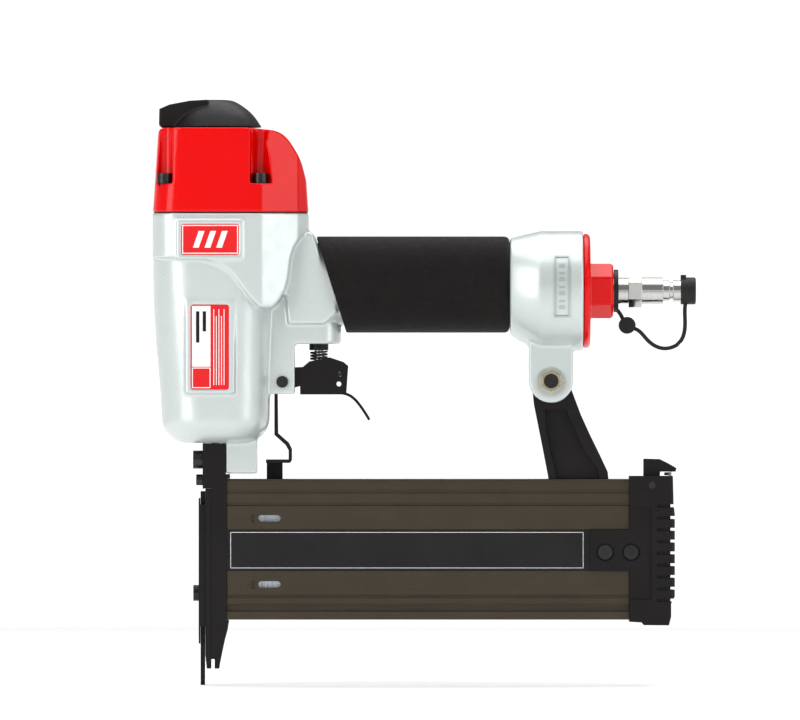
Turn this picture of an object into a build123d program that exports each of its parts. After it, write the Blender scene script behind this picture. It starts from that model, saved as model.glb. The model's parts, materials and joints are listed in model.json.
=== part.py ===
from build123d import *
import os
from math import cos, pi, sin

os.makedirs("parts", exist_ok=True)

# Pneumatic brad nailer, millimetres.
# Origin: middle of the driver channel at the muzzle face. +Z runs up the driver, +X to the
# air inlet, -Y is the side that carries the badges and the sliding magazine panel.

# ---- driving dimensions -------------------------------------------------------------------
# Head and barrel
HEAD_X = 54.0             # width of the head collar along the tool
HEAD_Y = 56.0             # width of the head collar across the tool
HEAD_CORNER = 12.0
BARREL_FOOT = 101.5       # underside of the barrel
FAIRING_FOOT = 160.0
SHOULDER = 184.6          # underside of the head block at the front
HOUSING_TOP = 204.6
GASKET_T = 0.5
CAP_FLOOR = HOUSING_TOP + GASKET_T
CAP_TOP = 243.0
DEFLECTOR_TOP = 255.8
DEFLECTOR_R = 22.0
BULGE_REAR = 43.1         # rear of the air chamber behind the head
CREASE_X = 21.5           # where the head's flat sides start to close in
TAPER_END_X = 38.5        # end of the closing sides, and their half width there
TAPER_END_Y = 19.0
REAR_HALF = 13.0
SCREW_PITCH = 43.0        # square of the four head screws
POCKET_FLOOR = 218.0
POCKET_R = 3.8
FRONT_POCKET = [(-25.3, 218.0), (-17.9, 218.0), (-17.9, 246), (-22.2, 246), (-23.6, 234.0)]
REAR_POCKET = [(16.9, 218.0), (26.6, 218.0), (25.2, 230.0), (23.4, 238.0), (21.6, 246), (16.9, 246)]

# Power unit
BORE_R = 22.0
SEAT_R = 20.0
SEAT_FLOOR = 108.0
SLEEVE_R = 19.9
SLEEVE_BORE = 18.0
SLEEVE_TOP = 212.0
BUMPER_TOP = 124.0
STROKE = 76.0
PISTON_H = 9.2
PISTON_FOOT = BUMPER_TOP + 0.3 + STROKE
DRIVER_X = 1.2            # driver blade section
DRIVER_Y = 2.8
CHANNEL_X = 1.5           # driver channel section
CHANNEL_Y = 3.2
VALVE_R = 20.5            # head valve bore in the cap
VALVE_ROOF = 228.0

# Handle
GRIP_AXIS = 172.75
CORE_Y = 29.8
CORE_Z = 36.4
GRIP_Y = 36.6
GRIP_Z = 43.3
GRIP_REAR = 133.3
CUP_AXIS = 169.9
CUP_R = 26.9
CUP_START = 147.1
CUP_END = 166.4
CUP_BORE = 24.2
AIRWAY_R = 11.0

# Trigger group
PIN_X = 31.2
PIN_Z = 129.0
VALVE_X = 47.6
BOSS_REAR = 57.5          # rounded rear end of the web round the trigger valve
BOSS_FOOT = 146.0
LUG_HALF = 11.0
LUG_FRONT = 25.6
LUG_REAR = 36.8
LUG_FOOT = 123.5
LUG_SLOT = 16.4
TRIGGER_W = 15.2
SHEET = 1.2
LEVER_PIN_X = 57.0
LEVER_PIN_Z = 132.4

# Rear stay
STAY_PIN_X = 152.0
STAY_PIN_Z = 129.4
STAY_LUG_R = 9.9
STAY_LUG_HALF = 11.0
STAY_SLOT = 14.4

# Magazine
MAG_FRONT = 6.4
MAG_REAR = 187.0
MAG_FOOT = 22.1
MAG_TOP = 85.3
MAG_HALF = 9.0
PANEL_FOOT = 33.1         # the gap in the near side that the sliding panel fills
PANEL_TOP = 73.4
LABEL_FOOT = 43.9
LABEL_TOP = 62.8
TONGUE_FRONT = 169.6      # the tail cover's tongue, which lies in the label recess
TONGUE_FACE = 11.0
BRAD_LENGTH = 50.0
BRAD_PITCH = 1.24
BRAD_COUNT = 60
BRAD_T = 1.1
BRAD_FOOT = 24.1
TAIL_FRONT = 187.15
TAIL_REAR = 207.6
TAIL_HALF = 12.0
TAIL_SCREWS = (176.3, 187.9)

# Nose
NOSE_HALF = 9.5
NOSE_REAR = 6.3
BLADE_FRONT = -5.6
BLADE_REAR = -3.6
PLATE_FRONT = -3.4
COVER_FRONT = -6.4
SPRING_X = 1.5            # return spring of the work contact, beside the nose


# ---- small helpers that draw in the part being built ---------------------------------------
def bar(x0, x1, y0, y1, z0, z1, mode=Mode.ADD):
    """A rectangular block between two corners."""
    with Locations(((x0 + x1) / 2, (y0 + y1) / 2, (z0 + z1) / 2)):
        Box(x1 - x0, y1 - y0, z1 - z0, mode=mode)


def disc(plane, radius, height, mode=Mode.ADD):
    """A cylinder that stands on a plane."""
    with BuildSketch(plane) as outline:
        Circle(radius)
    extrude(outline.sketch, amount=height, mode=mode)


def tube(plane, outer, inner, height, mode=Mode.ADD):
    """A ring that stands on a plane."""
    with BuildSketch(plane) as outline:
        Circle(outer)
        Circle(inner, mode=Mode.SUBTRACT)
    extrude(outline.sketch, amount=height, mode=mode)


def side_plate(points, half, mode=Mode.ADD):
    """An outline in the XZ plane, thickened equally to both sides of it."""
    with BuildSketch(Plane.XZ) as outline:
        with BuildLine():
            Polyline(*points, close=True)
        make_face()
    extrude(outline.sketch, amount=half, both=True, mode=mode)


def up(x, y, z):
    """A plane that faces +Z."""
    return Plane(origin=(x, y, z), z_dir=(0, 0, 1))


def across(x, y, z):
    """A plane that faces +Y."""
    return Plane(origin=(x, y, z), x_dir=(1, 0, 0), z_dir=(0, 1, 0))


def rearward(x, y, z):
    """A plane that faces +X, with Y to its right."""
    return Plane(origin=(x, y, z), x_dir=(0, 1, 0), z_dir=(1, 0, 0))


def spring(x, y, z0, z1, radius, wire, turns):
    """A compression spring on a vertical axis, with its coil ends inside z0 to z1."""
    with BuildLine() as coil:
        Helix((z1 - z0 - wire) / turns, z1 - z0 - wire, radius, center=(x, y, z0 + wire / 2))
    with BuildSketch(Plane(origin=coil.line @ 0, z_dir=coil.line % 0)) as wire_end:
        Circle(wire / 2)
    sweep(wire_end.sketch, path=coil.line, is_frenet=True)


def save(part, name):
    """Label a finished piece and write it as its own STEP."""
    part.label = name
    export_step(part, f"parts/{name}.step")


def head_plan(height, inset):
    """The head in plan: flat sides that close in towards the rounded air chamber."""
    front = -HEAD_X / 2 + inset
    rear = BULGE_REAR - inset
    half = HEAD_Y / 2 - inset
    with BuildSketch(up(0, 0, height)) as outline:
        with BuildLine():
            Polyline((front, -half), (CREASE_X, -half), (TAPER_END_X, inset - TAPER_END_Y), (rear, -REAR_HALF),
                     (rear, REAR_HALF), (TAPER_END_X, TAPER_END_Y - inset), (CREASE_X, half), (front, half),
                     close=True)
        make_face()
        fillet(outline.vertices().group_by(Axis.X)[0], HEAD_CORNER)
        fillet(outline.vertices().group_by(Axis.X)[-1], 4.0)
        fillet(outline.vertices().filter_by(lambda corner: abs(corner.X - TAPER_END_X) < 0.01), 2.0)
        fillet(outline.vertices().filter_by(lambda corner: abs(corner.X - CREASE_X) < 0.01), 6.0)
    return outline.sketch


SCREW_SPOTS = [(sx * SCREW_PITCH / 2, sy * SCREW_PITCH / 2) for sx in (-1, 1) for sy in (-1, 1)]

# ---- housing ------------------------------------------------------------------------------
# height, front and rear of the barrel, half width, plan corner
BARREL_SECTIONS = [
    (BARREL_FOOT, -23.0, 25.2, 23.6, 19.0),
    (124.0, -23.6, 25.6, 24.2, 19.0),
    (152.0, -25.9, 26.2, 25.4, 19.0),
    (182.0, -26.8, 26.8, 26.6, 18.0),
    (192.0, -26.8, 26.8, 26.6, 18.0),
]

with BuildPart() as housing:
    # Barrel, drawn in towards its rounded foot
    for height, front, rear, half, corner in BARREL_SECTIONS:
        with BuildSketch(up((front + rear) / 2, 0, height)):
            RectangleRounded(rear - front, 2 * half, corner)
    loft()
    fillet(housing.faces().sort_by(Axis.Z)[0].edges(), 11.5)
    # Head block and the fairing behind it, which runs down to the barrel's rear edge
    with BuildPart(mode=Mode.PRIVATE) as head_block:
        extrude(head_plan(FAIRING_FOOT, 0), amount=HOUSING_TOP - FAIRING_FOOT)
        with BuildSketch(Plane.XZ):
            with BuildLine():
                Polyline((-14, SHOULDER), (-26.0, SHOULDER), (-29.0, 186.4), (-40, 190), (-40, 210), (60, 210), (60, 196.0), (43.6, 196.0))
                Spline((43.6, 196.0), (38.6, 192.4), (35.2, 185.0), (34.2, 177.0), (31.6, 168.4), (26.6, 162.2))
                Line((26.6, 162.2), (22.4, 162.0))
                Spline((22.4, 162.0), (17.5, 166.2), (12.5, 172.6), (6.6, 179.4), (-2.0, 183.4), (-14, SHOULDER))
            make_face()
        extrude(amount=40, both=True, mode=Mode.INTERSECT)
    add(head_block.part)
    # Flat web that carries the handle, the trigger valve boss and the trigger lug
    side_plate([(15, 198), (42, 198), (46.0, 194.3), (56.6, 160.6), (15, 160.6)], LUG_HALF)
    side_plate([(15, 161), (LUG_REAR, 161), (LUG_REAR, LUG_FOOT), (22, LUG_FOOT), (15, 135)], LUG_HALF)
    with BuildSketch(up((5 + BOSS_REAR) / 2, 0, BOSS_FOOT)):
        RectangleRounded(BOSS_REAR - 5, 2 * LUG_HALF, 9.5)
    extrude(amount=160.7 - BOSS_FOOT)
    side_plate([(30, 196), (44.8, 196), (56.0, 160.6), (50, 155), (34, 155)], CORE_Y / 2)
    # Handle core
    with BuildSketch(rearward(38, 0, GRIP_AXIS)):
        RectangleRounded(CORE_Y, CORE_Z, 13.5)
    extrude(amount=98)
    # Rear cup
    with BuildSketch(rearward(GRIP_REAR + 0.2, 0, 171.9)):
        Ellipse(19.8, 21.6)
    with BuildSketch(rearward(140.3, 0, 170.6)):
        Ellipse(24.0, 24.6)
    with BuildSketch(rearward(CUP_START, 0, CUP_AXIS)):
        Circle(CUP_R)
    loft()
    disc(rearward(CUP_START, 0, CUP_AXIS), CUP_R, CUP_END - CUP_START)
    # Stay lug under the cup
    with BuildSketch(across(STAY_PIN_X, -STAY_LUG_HALF, STAY_PIN_Z)):
        Circle(STAY_LUG_R)
        with Locations((0, -10)):
            Rectangle(2 * STAY_LUG_R, 20)
    extrude(amount=2 * STAY_LUG_HALF)
    # Foot lug that the nose bolts to
    bar(5.8, 19.9, -9, 9, 87.8, 118)
    # Raised pads for the two badges
    bar(-15.7, 13.7, -28.9, -24, 184.0, 201.5)
    bar(-12.0, 10.1, -26.2, -20, 123.7, 165.6)

    # Cylinder chamber, sleeve seat and driver hole
    disc(up(0, 0, 118), BORE_R, 100, Mode.SUBTRACT)
    disc(up(0, 0, SEAT_FLOOR), SEAT_R, 20, Mode.SUBTRACT)
    disc(up(0, 0, 90), 5.0, 30, Mode.SUBTRACT)
    # Airway through the handle, and the cup's bore
    disc(rearward(18, 0, 171.5), AIRWAY_R, 140, Mode.SUBTRACT)
    disc(rearward(150, 0, CUP_AXIS), CUP_BORE, 30, Mode.SUBTRACT)
    bar(28, 39, -12, 12, 180, 202, Mode.SUBTRACT)
    # Trigger valve bore
    disc(up(VALVE_X, 0, 140), 6.0, 25, Mode.SUBTRACT)
    # Slots between the ears of the trigger lug and of the stay lug
    bar(26.3, 40, -LUG_SLOT / 2, LUG_SLOT / 2, 120, 141.5, Mode.SUBTRACT)
    bar(138, 166, -STAY_SLOT / 2, STAY_SLOT / 2, 115, 141, Mode.SUBTRACT)
    # Cross holes
    disc(across(PIN_X, -20, PIN_Z), 1.75, 40, Mode.SUBTRACT)
    disc(across(STAY_PIN_X, -20, STAY_PIN_Z), 3.1, 40, Mode.SUBTRACT)
    for face in (-1, 1):
        disc(across(STAY_PIN_X, face * (STAY_LUG_HALF + 4.4) - 5, STAY_PIN_Z), 6.3, 10, Mode.SUBTRACT)
    # Head screw holes, nose screw holes and the spring pin's hole
    for spot in SCREW_SPOTS:
        disc(up(*spot, 190), 2.05, 30, Mode.SUBTRACT)
    for side in (-1, 1):
        disc(rearward(0, side * 5.6, 94), 2.55, 17, Mode.SUBTRACT)
    disc(up(SPRING_X, 14.4, 95), 1.25, 13, Mode.SUBTRACT)
    # Badge recesses
    bar(-14.1, 12.2, -30, -28.1, 185.8, 199.9, Mode.SUBTRACT)
    bar(-9.8, 7.5, -30, -25.6, 125.5, 163.7, Mode.SUBTRACT)
save(housing.part, "housing")

with BuildPart() as head_badge:
    bar(-14.0, 12.1, -28.7, -28.1, 185.9, 199.8)
    fillet(head_badge.edges().filter_by(Axis.Y), 1.2)
save(head_badge.part, "head_badge")

with BuildPart() as side_badge:
    bar(-9.7, 7.4, -26.2, -25.6, 125.6, 163.6)
    fillet(side_badge.edges().filter_by(Axis.Y), 1.2)
save(side_badge.part, "side_badge")

# ---- head: cap, gasket, screws, deflector --------------------------------------------------
with BuildPart() as cap_gasket:
    extrude(head_plan(HOUSING_TOP, 0.7), amount=GASKET_T)
    disc(up(0, 0, HOUSING_TOP - 1), BORE_R, 3, Mode.SUBTRACT)
    for spot in SCREW_SPOTS:
        disc(up(*spot, HOUSING_TOP - 1), 2.2, 3, Mode.SUBTRACT)
    bar(28, 39, -12, 12, HOUSING_TOP - 1, HOUSING_TOP + 2, Mode.SUBTRACT)
save(cap_gasket.part, "cap_gasket")

with BuildPart() as cylinder_cap:
    loft([head_plan(CAP_FLOOR, 0.15), head_plan(CAP_TOP + 0.1, 2.6)])
    with BuildSketch(Plane.XZ):
        with BuildLine():
            Polyline((-26.9, 200), (-26.9, 218), (-26.2, 230), (-25.0, 238.6))
            Spline((-25.0, 238.6), (-24.0, 241.8), (-21.6, CAP_TOP), tangents=((0.15, 1), (1, 0)))
            Line((-21.6, CAP_TOP), (14.0, CAP_TOP))
            Spline((14.0, CAP_TOP), (24.0, 242.3), (30.6, 240.6), (36.8, 233.5), (40.7, 224.4),
                   tangents=((1, 0), (0.24, -0.97)))
            Polyline((40.7, 224.4), (42.7, 216.6), (43.2, 210.0), (43.2, 200), (-26.9, 200))
        make_face()
    extrude(amount=40, both=True, mode=Mode.INTERSECT)
    # Screw pockets, open to the sides, wider at the foot
    for x, y in SCREW_SPOTS:
        disc(up(x, y, POCKET_FLOOR), POCKET_R, 40, Mode.SUBTRACT)
        pocket = FRONT_POCKET if x < 0 else REAR_POCKET
        outward = 1 if y > 0 else -1
        with BuildSketch(Plane(origin=(0, y - outward * 1.5, 0), x_dir=(1, 0, 0), z_dir=(0, -1, 0))) as window:
            with BuildLine():
                Polyline(*pocket, close=True)
            make_face()
        extrude(window.sketch, amount=-outward * 12, mode=Mode.SUBTRACT)
        disc(up(x, y, 200), 2.05, 30, Mode.SUBTRACT)
    # Head valve bore, chamber behind it and the exhaust holes round the screw boss
    disc(up(0, 0, 200), VALVE_R, VALVE_ROOF - 200, Mode.SUBTRACT)
    bar(28, 38, -11, 11, 200, 222, Mode.SUBTRACT)
    with BuildSketch(up(0, 0, VALVE_ROOF - 1)):
        with PolarLocations(11.5, 8):
            Circle(2.6)
    extrude(amount=30, mode=Mode.SUBTRACT)
    disc(up(0, 0, 232), 2.05, 20, Mode.SUBTRACT)
save(cylinder_cap.part, "cylinder_cap")

with BuildPart() as cap_screws:
    for spot in SCREW_SPOTS:
        disc(up(*spot, 192), 2.0, POCKET_FLOOR - 191)
        disc(up(*spot, POCKET_FLOOR + 0.1), 3.5, 4.4)
        with BuildSketch(up(*spot, POCKET_FLOOR + 2.2)):
            RegularPolygon(1.75, 6)
        extrude(amount=5, mode=Mode.SUBTRACT)
save(cap_screws.part, "cap_screws")

DECK = CAP_TOP + 0.3      # underside of the deflector
with BuildPart() as exhaust_deflector:
    with BuildSketch(Plane.XZ):
        with BuildLine():
            Polyline((0, DECK), (DEFLECTOR_R, DECK), (21.0, 244.9))
            Spline((21.0, 244.9), (18.0, 249.0), (12.1, 253.8), (6.0, DEFLECTOR_TOP),
                   tangents=((-0.55, 0.83), (-1, 0.05)))
            Polyline((6.0, DEFLECTOR_TOP), (0, DEFLECTOR_TOP), (0, DECK))
        make_face()
    revolve(axis=Axis.Z)
    # Hood over the outlet
    side_plate([(-24.2, DECK), (-24.0, 251.6), (-19.4, 253.6), (-10.4, 255.3), (-2, DEFLECTOR_TOP),
                (-2, DECK)], 13.0)
    fillet(exhaust_deflector.edges().group_by(Axis.X)[0], 1.5)
    # Hollow for the exhaust and its way out
    with BuildSketch(Plane.XZ):
        with BuildLine():
            Polyline((6, DECK - 1), (19.6, DECK - 1), (18.6, 245.2), (11.0, 252.0), (6, 252.6), close=True)
        make_face()
    revolve(axis=Axis.Z, mode=Mode.SUBTRACT)
    bar(-30, -8, -10.5, 10.5, DECK - 1, 250.4, Mode.SUBTRACT)
    # Screw seat
    disc(up(0, 0, 240), 2.56, 20, Mode.SUBTRACT)
    disc(up(0, 0, 253.1), 4.8, 10, Mode.SUBTRACT)
save(exhaust_deflector.part, "exhaust_deflector")

with BuildPart() as deflector_screw:
    disc(up(0, 0, CAP_TOP), 2.5, 10.3)
    disc(up(0, 0, 233), 2.0, 10)
    disc(up(0, 0, 253.25), 4.4, 2.3)
    fillet(deflector_screw.faces().sort_by(Axis.Z)[-1].edges(), 1.2)
    with BuildSketch(up(0, 0, 253.9)):
        RegularPolygon(1.7, 6)
    extrude(amount=5, mode=Mode.SUBTRACT)
save(deflector_screw.part, "deflector_screw")

# ---- power unit --------------------------------------------------------------------------
with BuildPart() as cylinder_sleeve:
    tube(up(0, 0, SEAT_FLOOR + 0.1), SLEEVE_R, SLEEVE_BORE, SLEEVE_TOP - SEAT_FLOOR - 0.1)
    tube(up(0, 0, 200), BORE_R - 0.1, SLEEVE_R - 0.5, 4.5)
    for turn in range(12):
        with BuildSketch(Plane(origin=(0, 0, 130), z_dir=(cos(turn * pi / 6), sin(turn * pi / 6), 0))):
            Circle(1.0)
        extrude(amount=24, mode=Mode.SUBTRACT)
save(cylinder_sleeve.part, "cylinder_sleeve")

with BuildPart() as sleeve_check_ring:
    tube(up(0, 0, 127.5), SLEEVE_R + 1.1, SLEEVE_R + 0.05, 5)
save(sleeve_check_ring.part, "sleeve_check_ring")

with BuildPart() as bumper:
    tube(up(0, 0, SEAT_FLOOR + 0.2), SLEEVE_BORE - 0.3, 4.0, BUMPER_TOP - SEAT_FLOOR - 0.2)
    chamfer(bumper.faces().sort_by(Axis.Z)[-1].edges(), 1.2)
save(bumper.part, "bumper")

GROOVE_R = SLEEVE_BORE - 2.2
with BuildPart() as piston:
    disc(up(0, 0, PISTON_FOOT), SLEEVE_BORE - 0.35, PISTON_H)
    tube(up(0, 0, PISTON_FOOT + 3.2), 30, GROOVE_R, 2.6, Mode.SUBTRACT)
    disc(up(0, 0, PISTON_FOOT + 5.4), 12.0, 10, Mode.SUBTRACT)
    bar(-DRIVER_X / 2 - 0.1, DRIVER_X / 2 + 0.1, -DRIVER_Y / 2 - 0.1, DRIVER_Y / 2 + 0.1,
        PISTON_FOOT - 1, PISTON_FOOT + 6, Mode.SUBTRACT)
save(piston.part, "piston")

with BuildPart() as piston_ring:
    tube(up(0, 0, PISTON_FOOT + 3.3), SLEEVE_BORE - 0.05, GROOVE_R + 0.1, 2.4)
save(piston_ring.part, "piston_ring")

with BuildPart() as driver_blade:
    bar(-DRIVER_X / 2, DRIVER_X / 2, -DRIVER_Y / 2, DRIVER_Y / 2, STROKE, PISTON_FOOT + 5.4)
    bar(-2.4, 2.4, -3.6, 3.6, PISTON_FOOT + 5.5, PISTON_FOOT + 7.2)
    bar(-DRIVER_X / 2, DRIVER_X / 2, -DRIVER_Y / 2, DRIVER_Y / 2, PISTON_FOOT + 5, PISTON_FOOT + 6)
save(driver_blade.part, "driver_blade")

with BuildPart() as head_valve:
    disc(up(0, 0, SLEEVE_TOP + 0.4), VALVE_R - 0.07, 7.6)
    tube(up(0, 0, SLEEVE_TOP + 3.4), 30, VALVE_R - 1.9, 2.0, Mode.SUBTRACT)
    disc(up(0, 0, SLEEVE_TOP + 6.0), 16.5, 10, Mode.SUBTRACT)
save(head_valve.part, "head_valve")

with BuildPart() as head_valve_ring:
    tube(up(0, 0, SLEEVE_TOP + 3.5), VALVE_R - 0.05, VALVE_R - 1.8, 1.8)
save(head_valve_ring.part, "head_valve_ring")

with BuildPart() as head_valve_spring:
    spring(0, 0, SLEEVE_TOP + 6.1, VALVE_ROOF - 0.1, 14.6, 1.4, 2.5)
save(head_valve_spring.part, "head_valve_spring")

# ---- handle ------------------------------------------------------------------------------
with BuildPart() as grip_sleeve:
    with BuildSketch(rearward(40, 0, GRIP_AXIS)):
        RectangleRounded(GRIP_Y, GRIP_Z, 16.5)
        RectangleRounded(CORE_Y + 0.2, CORE_Z + 0.2, 13.6, mode=Mode.SUBTRACT)
    extrude(amount=GRIP_REAR - 40)
    # Slanted front end that follows the housing web
    side_plate([(30, 205), (43.0, 205), (46.4, 194.2), (59.9, 151.4), (64.0, 138), (30, 138)], 30,
               Mode.SUBTRACT)
    fillet(grip_sleeve.faces().sort_by(Axis.X)[-1].outer_wire().edges(), 2.0)
save(grip_sleeve.part, "grip_sleeve")

with BuildPart() as end_cap:
    disc(rearward(158, 0, CUP_AXIS), CUP_BORE - 0.1, 8.6)
    disc(rearward(CUP_END + 0.2, 0, CUP_AXIS), 25.7, 3.0)
    chamfer(end_cap.faces().sort_by(Axis.X)[-1].edges(), 1.2)
    with BuildSketch(rearward(169, 0, CUP_AXIS)):
        RegularPolygon(12.4, 6, rotation=30)
    extrude(amount=11.1)
    chamfer(end_cap.faces().sort_by(Axis.X)[-1].edges(), 1.0)
    tube(rearward(161, 0, CUP_AXIS), 30, CUP_BORE - 2.2, 2.6, Mode.SUBTRACT)
    disc(rearward(150, 0, CUP_AXIS), 5.95, 40, Mode.SUBTRACT)
    disc(rearward(150, 0, CUP_AXIS), 18.0, 16, Mode.SUBTRACT)
save(end_cap.part, "end_cap")

with BuildPart() as end_cap_ring:
    tube(rearward(161.1, 0, CUP_AXIS), CUP_BORE - 0.05, CUP_BORE - 2.1, 2.4)
save(end_cap_ring.part, "end_cap_ring")

PLUG_STEPS = [            # start, end and radius of each length of the plug
    (168.0, 186.9, 5.9),
    (192.6, 202.4, 6.0),
    (202.4, 205.4, 4.6),
    (205.4, 207.0, 3.9),
    (207.0, 214.8, 4.9),
]
with BuildPart() as air_plug:
    for start, end, radius in PLUG_STEPS:
        disc(rearward(start, 0, CUP_AXIS), radius, end - start)
    with BuildSketch(rearward(186.9, 0, CUP_AXIS)):
        RegularPolygon(7.5, 6, rotation=30)
    extrude(amount=5.9)
    chamfer(air_plug.faces().sort_by(Axis.X)[-1].edges(), 1.0)
    disc(rearward(160, 0, CUP_AXIS), 3.2, 60, Mode.SUBTRACT)
save(air_plug.part, "air_plug")

# ---- dust cap and its moulded strap ---------------------------------------------------------
# The strap leaves the ring, carries a knob, hangs in a loop and turns up into the cap.
STRAP_T = 1.7
STRAP_HALF = 2.0
STRAP_FIXED = [(181.6, 161.4), (183.6, 158.8), (186.3, 154.4), (190.8, 152.4), (194.9, 148.4),
               (198.8, 145.2), (203.4, 144.0), (207.4, 144.9), (209.0, 145.8)]
STRAP_LOOSE = [(210.1, 147.0), (211.4, 149.2), (212.3, 153.4), (212.6, 164.4)]
CAP_MOUTH = 210.4

with BuildPart() as tether_strap:
    tube(rearward(180.3, 0, CUP_AXIS), 9.6, 6.3, 2.0)
    with BuildLine() as fixed_run:
        Spline(*[(x, 0, z) for x, z in STRAP_FIXED])
    with BuildSketch(Plane(origin=fixed_run.line @ 0, x_dir=(0, 1, 0), z_dir=fixed_run.line % 0)):
        Rectangle(2 * STRAP_HALF, STRAP_T)
    sweep(path=fixed_run.line)
    disc(across(186.3, -3.2, 154.4), 3.8, 6.4)
save(tether_strap.part, "tether_strap")

with BuildPart() as dust_cap:
    disc(rearward(CAP_MOUTH, 0, CUP_AXIS), 6.1, 6.8)
    fillet(dust_cap.faces().sort_by(Axis.X)[-1].edges(), 0.9)
    bar(CAP_MOUTH, CAP_MOUTH + 2.4, -2.6, 2.6, CUP_AXIS + 5, CUP_AXIS + 7.2)
    disc(rearward(CAP_MOUTH - 1, 0, CUP_AXIS), 5.25, 5.8, Mode.SUBTRACT)
    with BuildLine() as loose_run:
        Spline(*[(x, 0, z) for x, z in STRAP_LOOSE])
    with BuildSketch(Plane(origin=loose_run.line @ 0, x_dir=(0, 1, 0), z_dir=loose_run.line % 0)):
        Rectangle(2 * STRAP_HALF, STRAP_T)
    sweep(path=loose_run.line)
save(dust_cap.part, "dust_cap")

# ---- trigger group -------------------------------------------------------------------------
with BuildPart() as trigger:
    side_plate([(27.4, 132.6), (30.2, 135.2), (40.4, 135.7), (43.4, 138.2), (52.4, 140.0), (58.7, 137.9),
                (60.8, 136.1), (59.9, 123.3), (39.2, 123.3), (39.2, 127.0), (35.0, 126.0), (31.2, 125.2),
                (28.0, 126.6)], TRIGGER_W / 2)
    inner = TRIGGER_W / 2 - SHEET
    bar(20, 70, -inner, inner, 123.3 + SHEET, 150, Mode.SUBTRACT)
    bar(20, 39.2, -inner, inner, 110, 130, Mode.SUBTRACT)
    # Finger tail, a strip bent down and back
    with BuildSketch(Plane.XZ):
        with BuildLine():
            lower = Spline((57.0, 123.3), (62.5, 121.4), (66.2, 117.2), (69.8, 111.6),
                           tangents=((1, 0), (0.5, -0.86)))
            upper = Spline((57.0, 123.3 + SHEET), (63.2, 122.4), (67.1, 118.0), (70.8, 112.2),
                           tangents=((1, 0), (0.5, -0.86)))
            Line(lower @ 0, upper @ 0)
            Line(lower @ 1, upper @ 1)
        make_face()
    extrude(amount=inner, both=True)
    disc(across(PIN_X, -20, PIN_Z), 1.76, 40, Mode.SUBTRACT)
    disc(across(LEVER_PIN_X, -20, LEVER_PIN_Z), 1.05, 40, Mode.SUBTRACT)
    disc(across(56.6, -20, 128.0), 1.1, 40, Mode.SUBTRACT)
save(trigger.part, "trigger")

with BuildPart() as trigger_pin:
    disc(across(PIN_X, -LUG_HALF - 0.3, PIN_Z), 1.7, 2 * LUG_HALF + 0.6)
    disc(across(PIN_X, -LUG_HALF - 1.3, PIN_Z), 2.6, 1.2)
save(trigger_pin.part, "trigger_pin")

LEVER_SIDE = TRIGGER_W / 2 - SHEET - 0.3
with BuildPart() as trigger_lever:
    disc(across(LEVER_PIN_X, -LEVER_SIDE, LEVER_PIN_Z), 2.2, 2 * LEVER_SIDE)
    bar(28.0, LEVER_PIN_X, -LEVER_SIDE + 0.6, LEVER_SIDE - 0.6, 133.0, 134.4)
    disc(across(LEVER_PIN_X, -20, LEVER_PIN_Z), 1.06, 40, Mode.SUBTRACT)
save(trigger_lever.part, "trigger_lever")

with BuildPart() as lever_pin:
    disc(across(LEVER_PIN_X, -TRIGGER_W / 2 + 0.1, LEVER_PIN_Z), 1.0, TRIGGER_W - 0.2)
save(lever_pin.part, "lever_pin")

STEM_R = 2.0
with BuildPart() as trigger_valve_body:
    disc(up(VALVE_X, 0, BOSS_FOOT - 2.8), 4.3, 3)
    disc(up(VALVE_X, 0, BOSS_FOOT), 5.92, 18.5)
    disc(up(VALVE_X, 0, 130), STEM_R + 0.07, 40, Mode.SUBTRACT)
    tube(up(VALVE_X, 0, 152), 7, 4.6, 2, Mode.SUBTRACT)
    tube(up(VALVE_X, 0, 159), 7, 4.6, 2, Mode.SUBTRACT)
save(trigger_valve_body.part, "trigger_valve_body")

with BuildPart() as trigger_valve_rings:
    for groove in (152, 159):
        tube(up(VALVE_X, 0, groove + 0.1), 5.95, 4.7, 1.8)
save(trigger_valve_rings.part, "trigger_valve_rings")

with BuildPart() as trigger_valve_stem:
    disc(up(VALVE_X, 0, 137.0), STEM_R, 24.5)
    disc(up(VALVE_X, 0, 137.0), 4.1, 1.2)
    fillet(trigger_valve_stem.faces().sort_by(Axis.Z)[0].edges(), 0.5)
save(trigger_valve_stem.part, "trigger_valve_stem")

with BuildPart() as trigger_spring:
    spring(VALVE_X, 0, 138.3, BOSS_FOOT - 2.9, 3.6, 0.9, 3)
save(trigger_spring.part, "trigger_spring")

# ---- nose ----------------------------------------------------------------------------------
MUZZLE_HALF = 4.6
NOSE_FRONT_VIEW = [(-MUZZLE_HALF, 0), (MUZZLE_HALF, 0), (NOSE_HALF, 24), (NOSE_HALF, 110),
                   (-NOSE_HALF, 110), (-NOSE_HALF, 24)]


def nose_taper():
    """Trim what is being built to the nose's outline as seen along X."""
    with BuildSketch(rearward(-20, 0, 0)) as outline:
        with BuildLine():
            Polyline(*NOSE_FRONT_VIEW, close=True)
        make_face()
    extrude(outline.sketch, amount=60, mode=Mode.INTERSECT)


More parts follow.
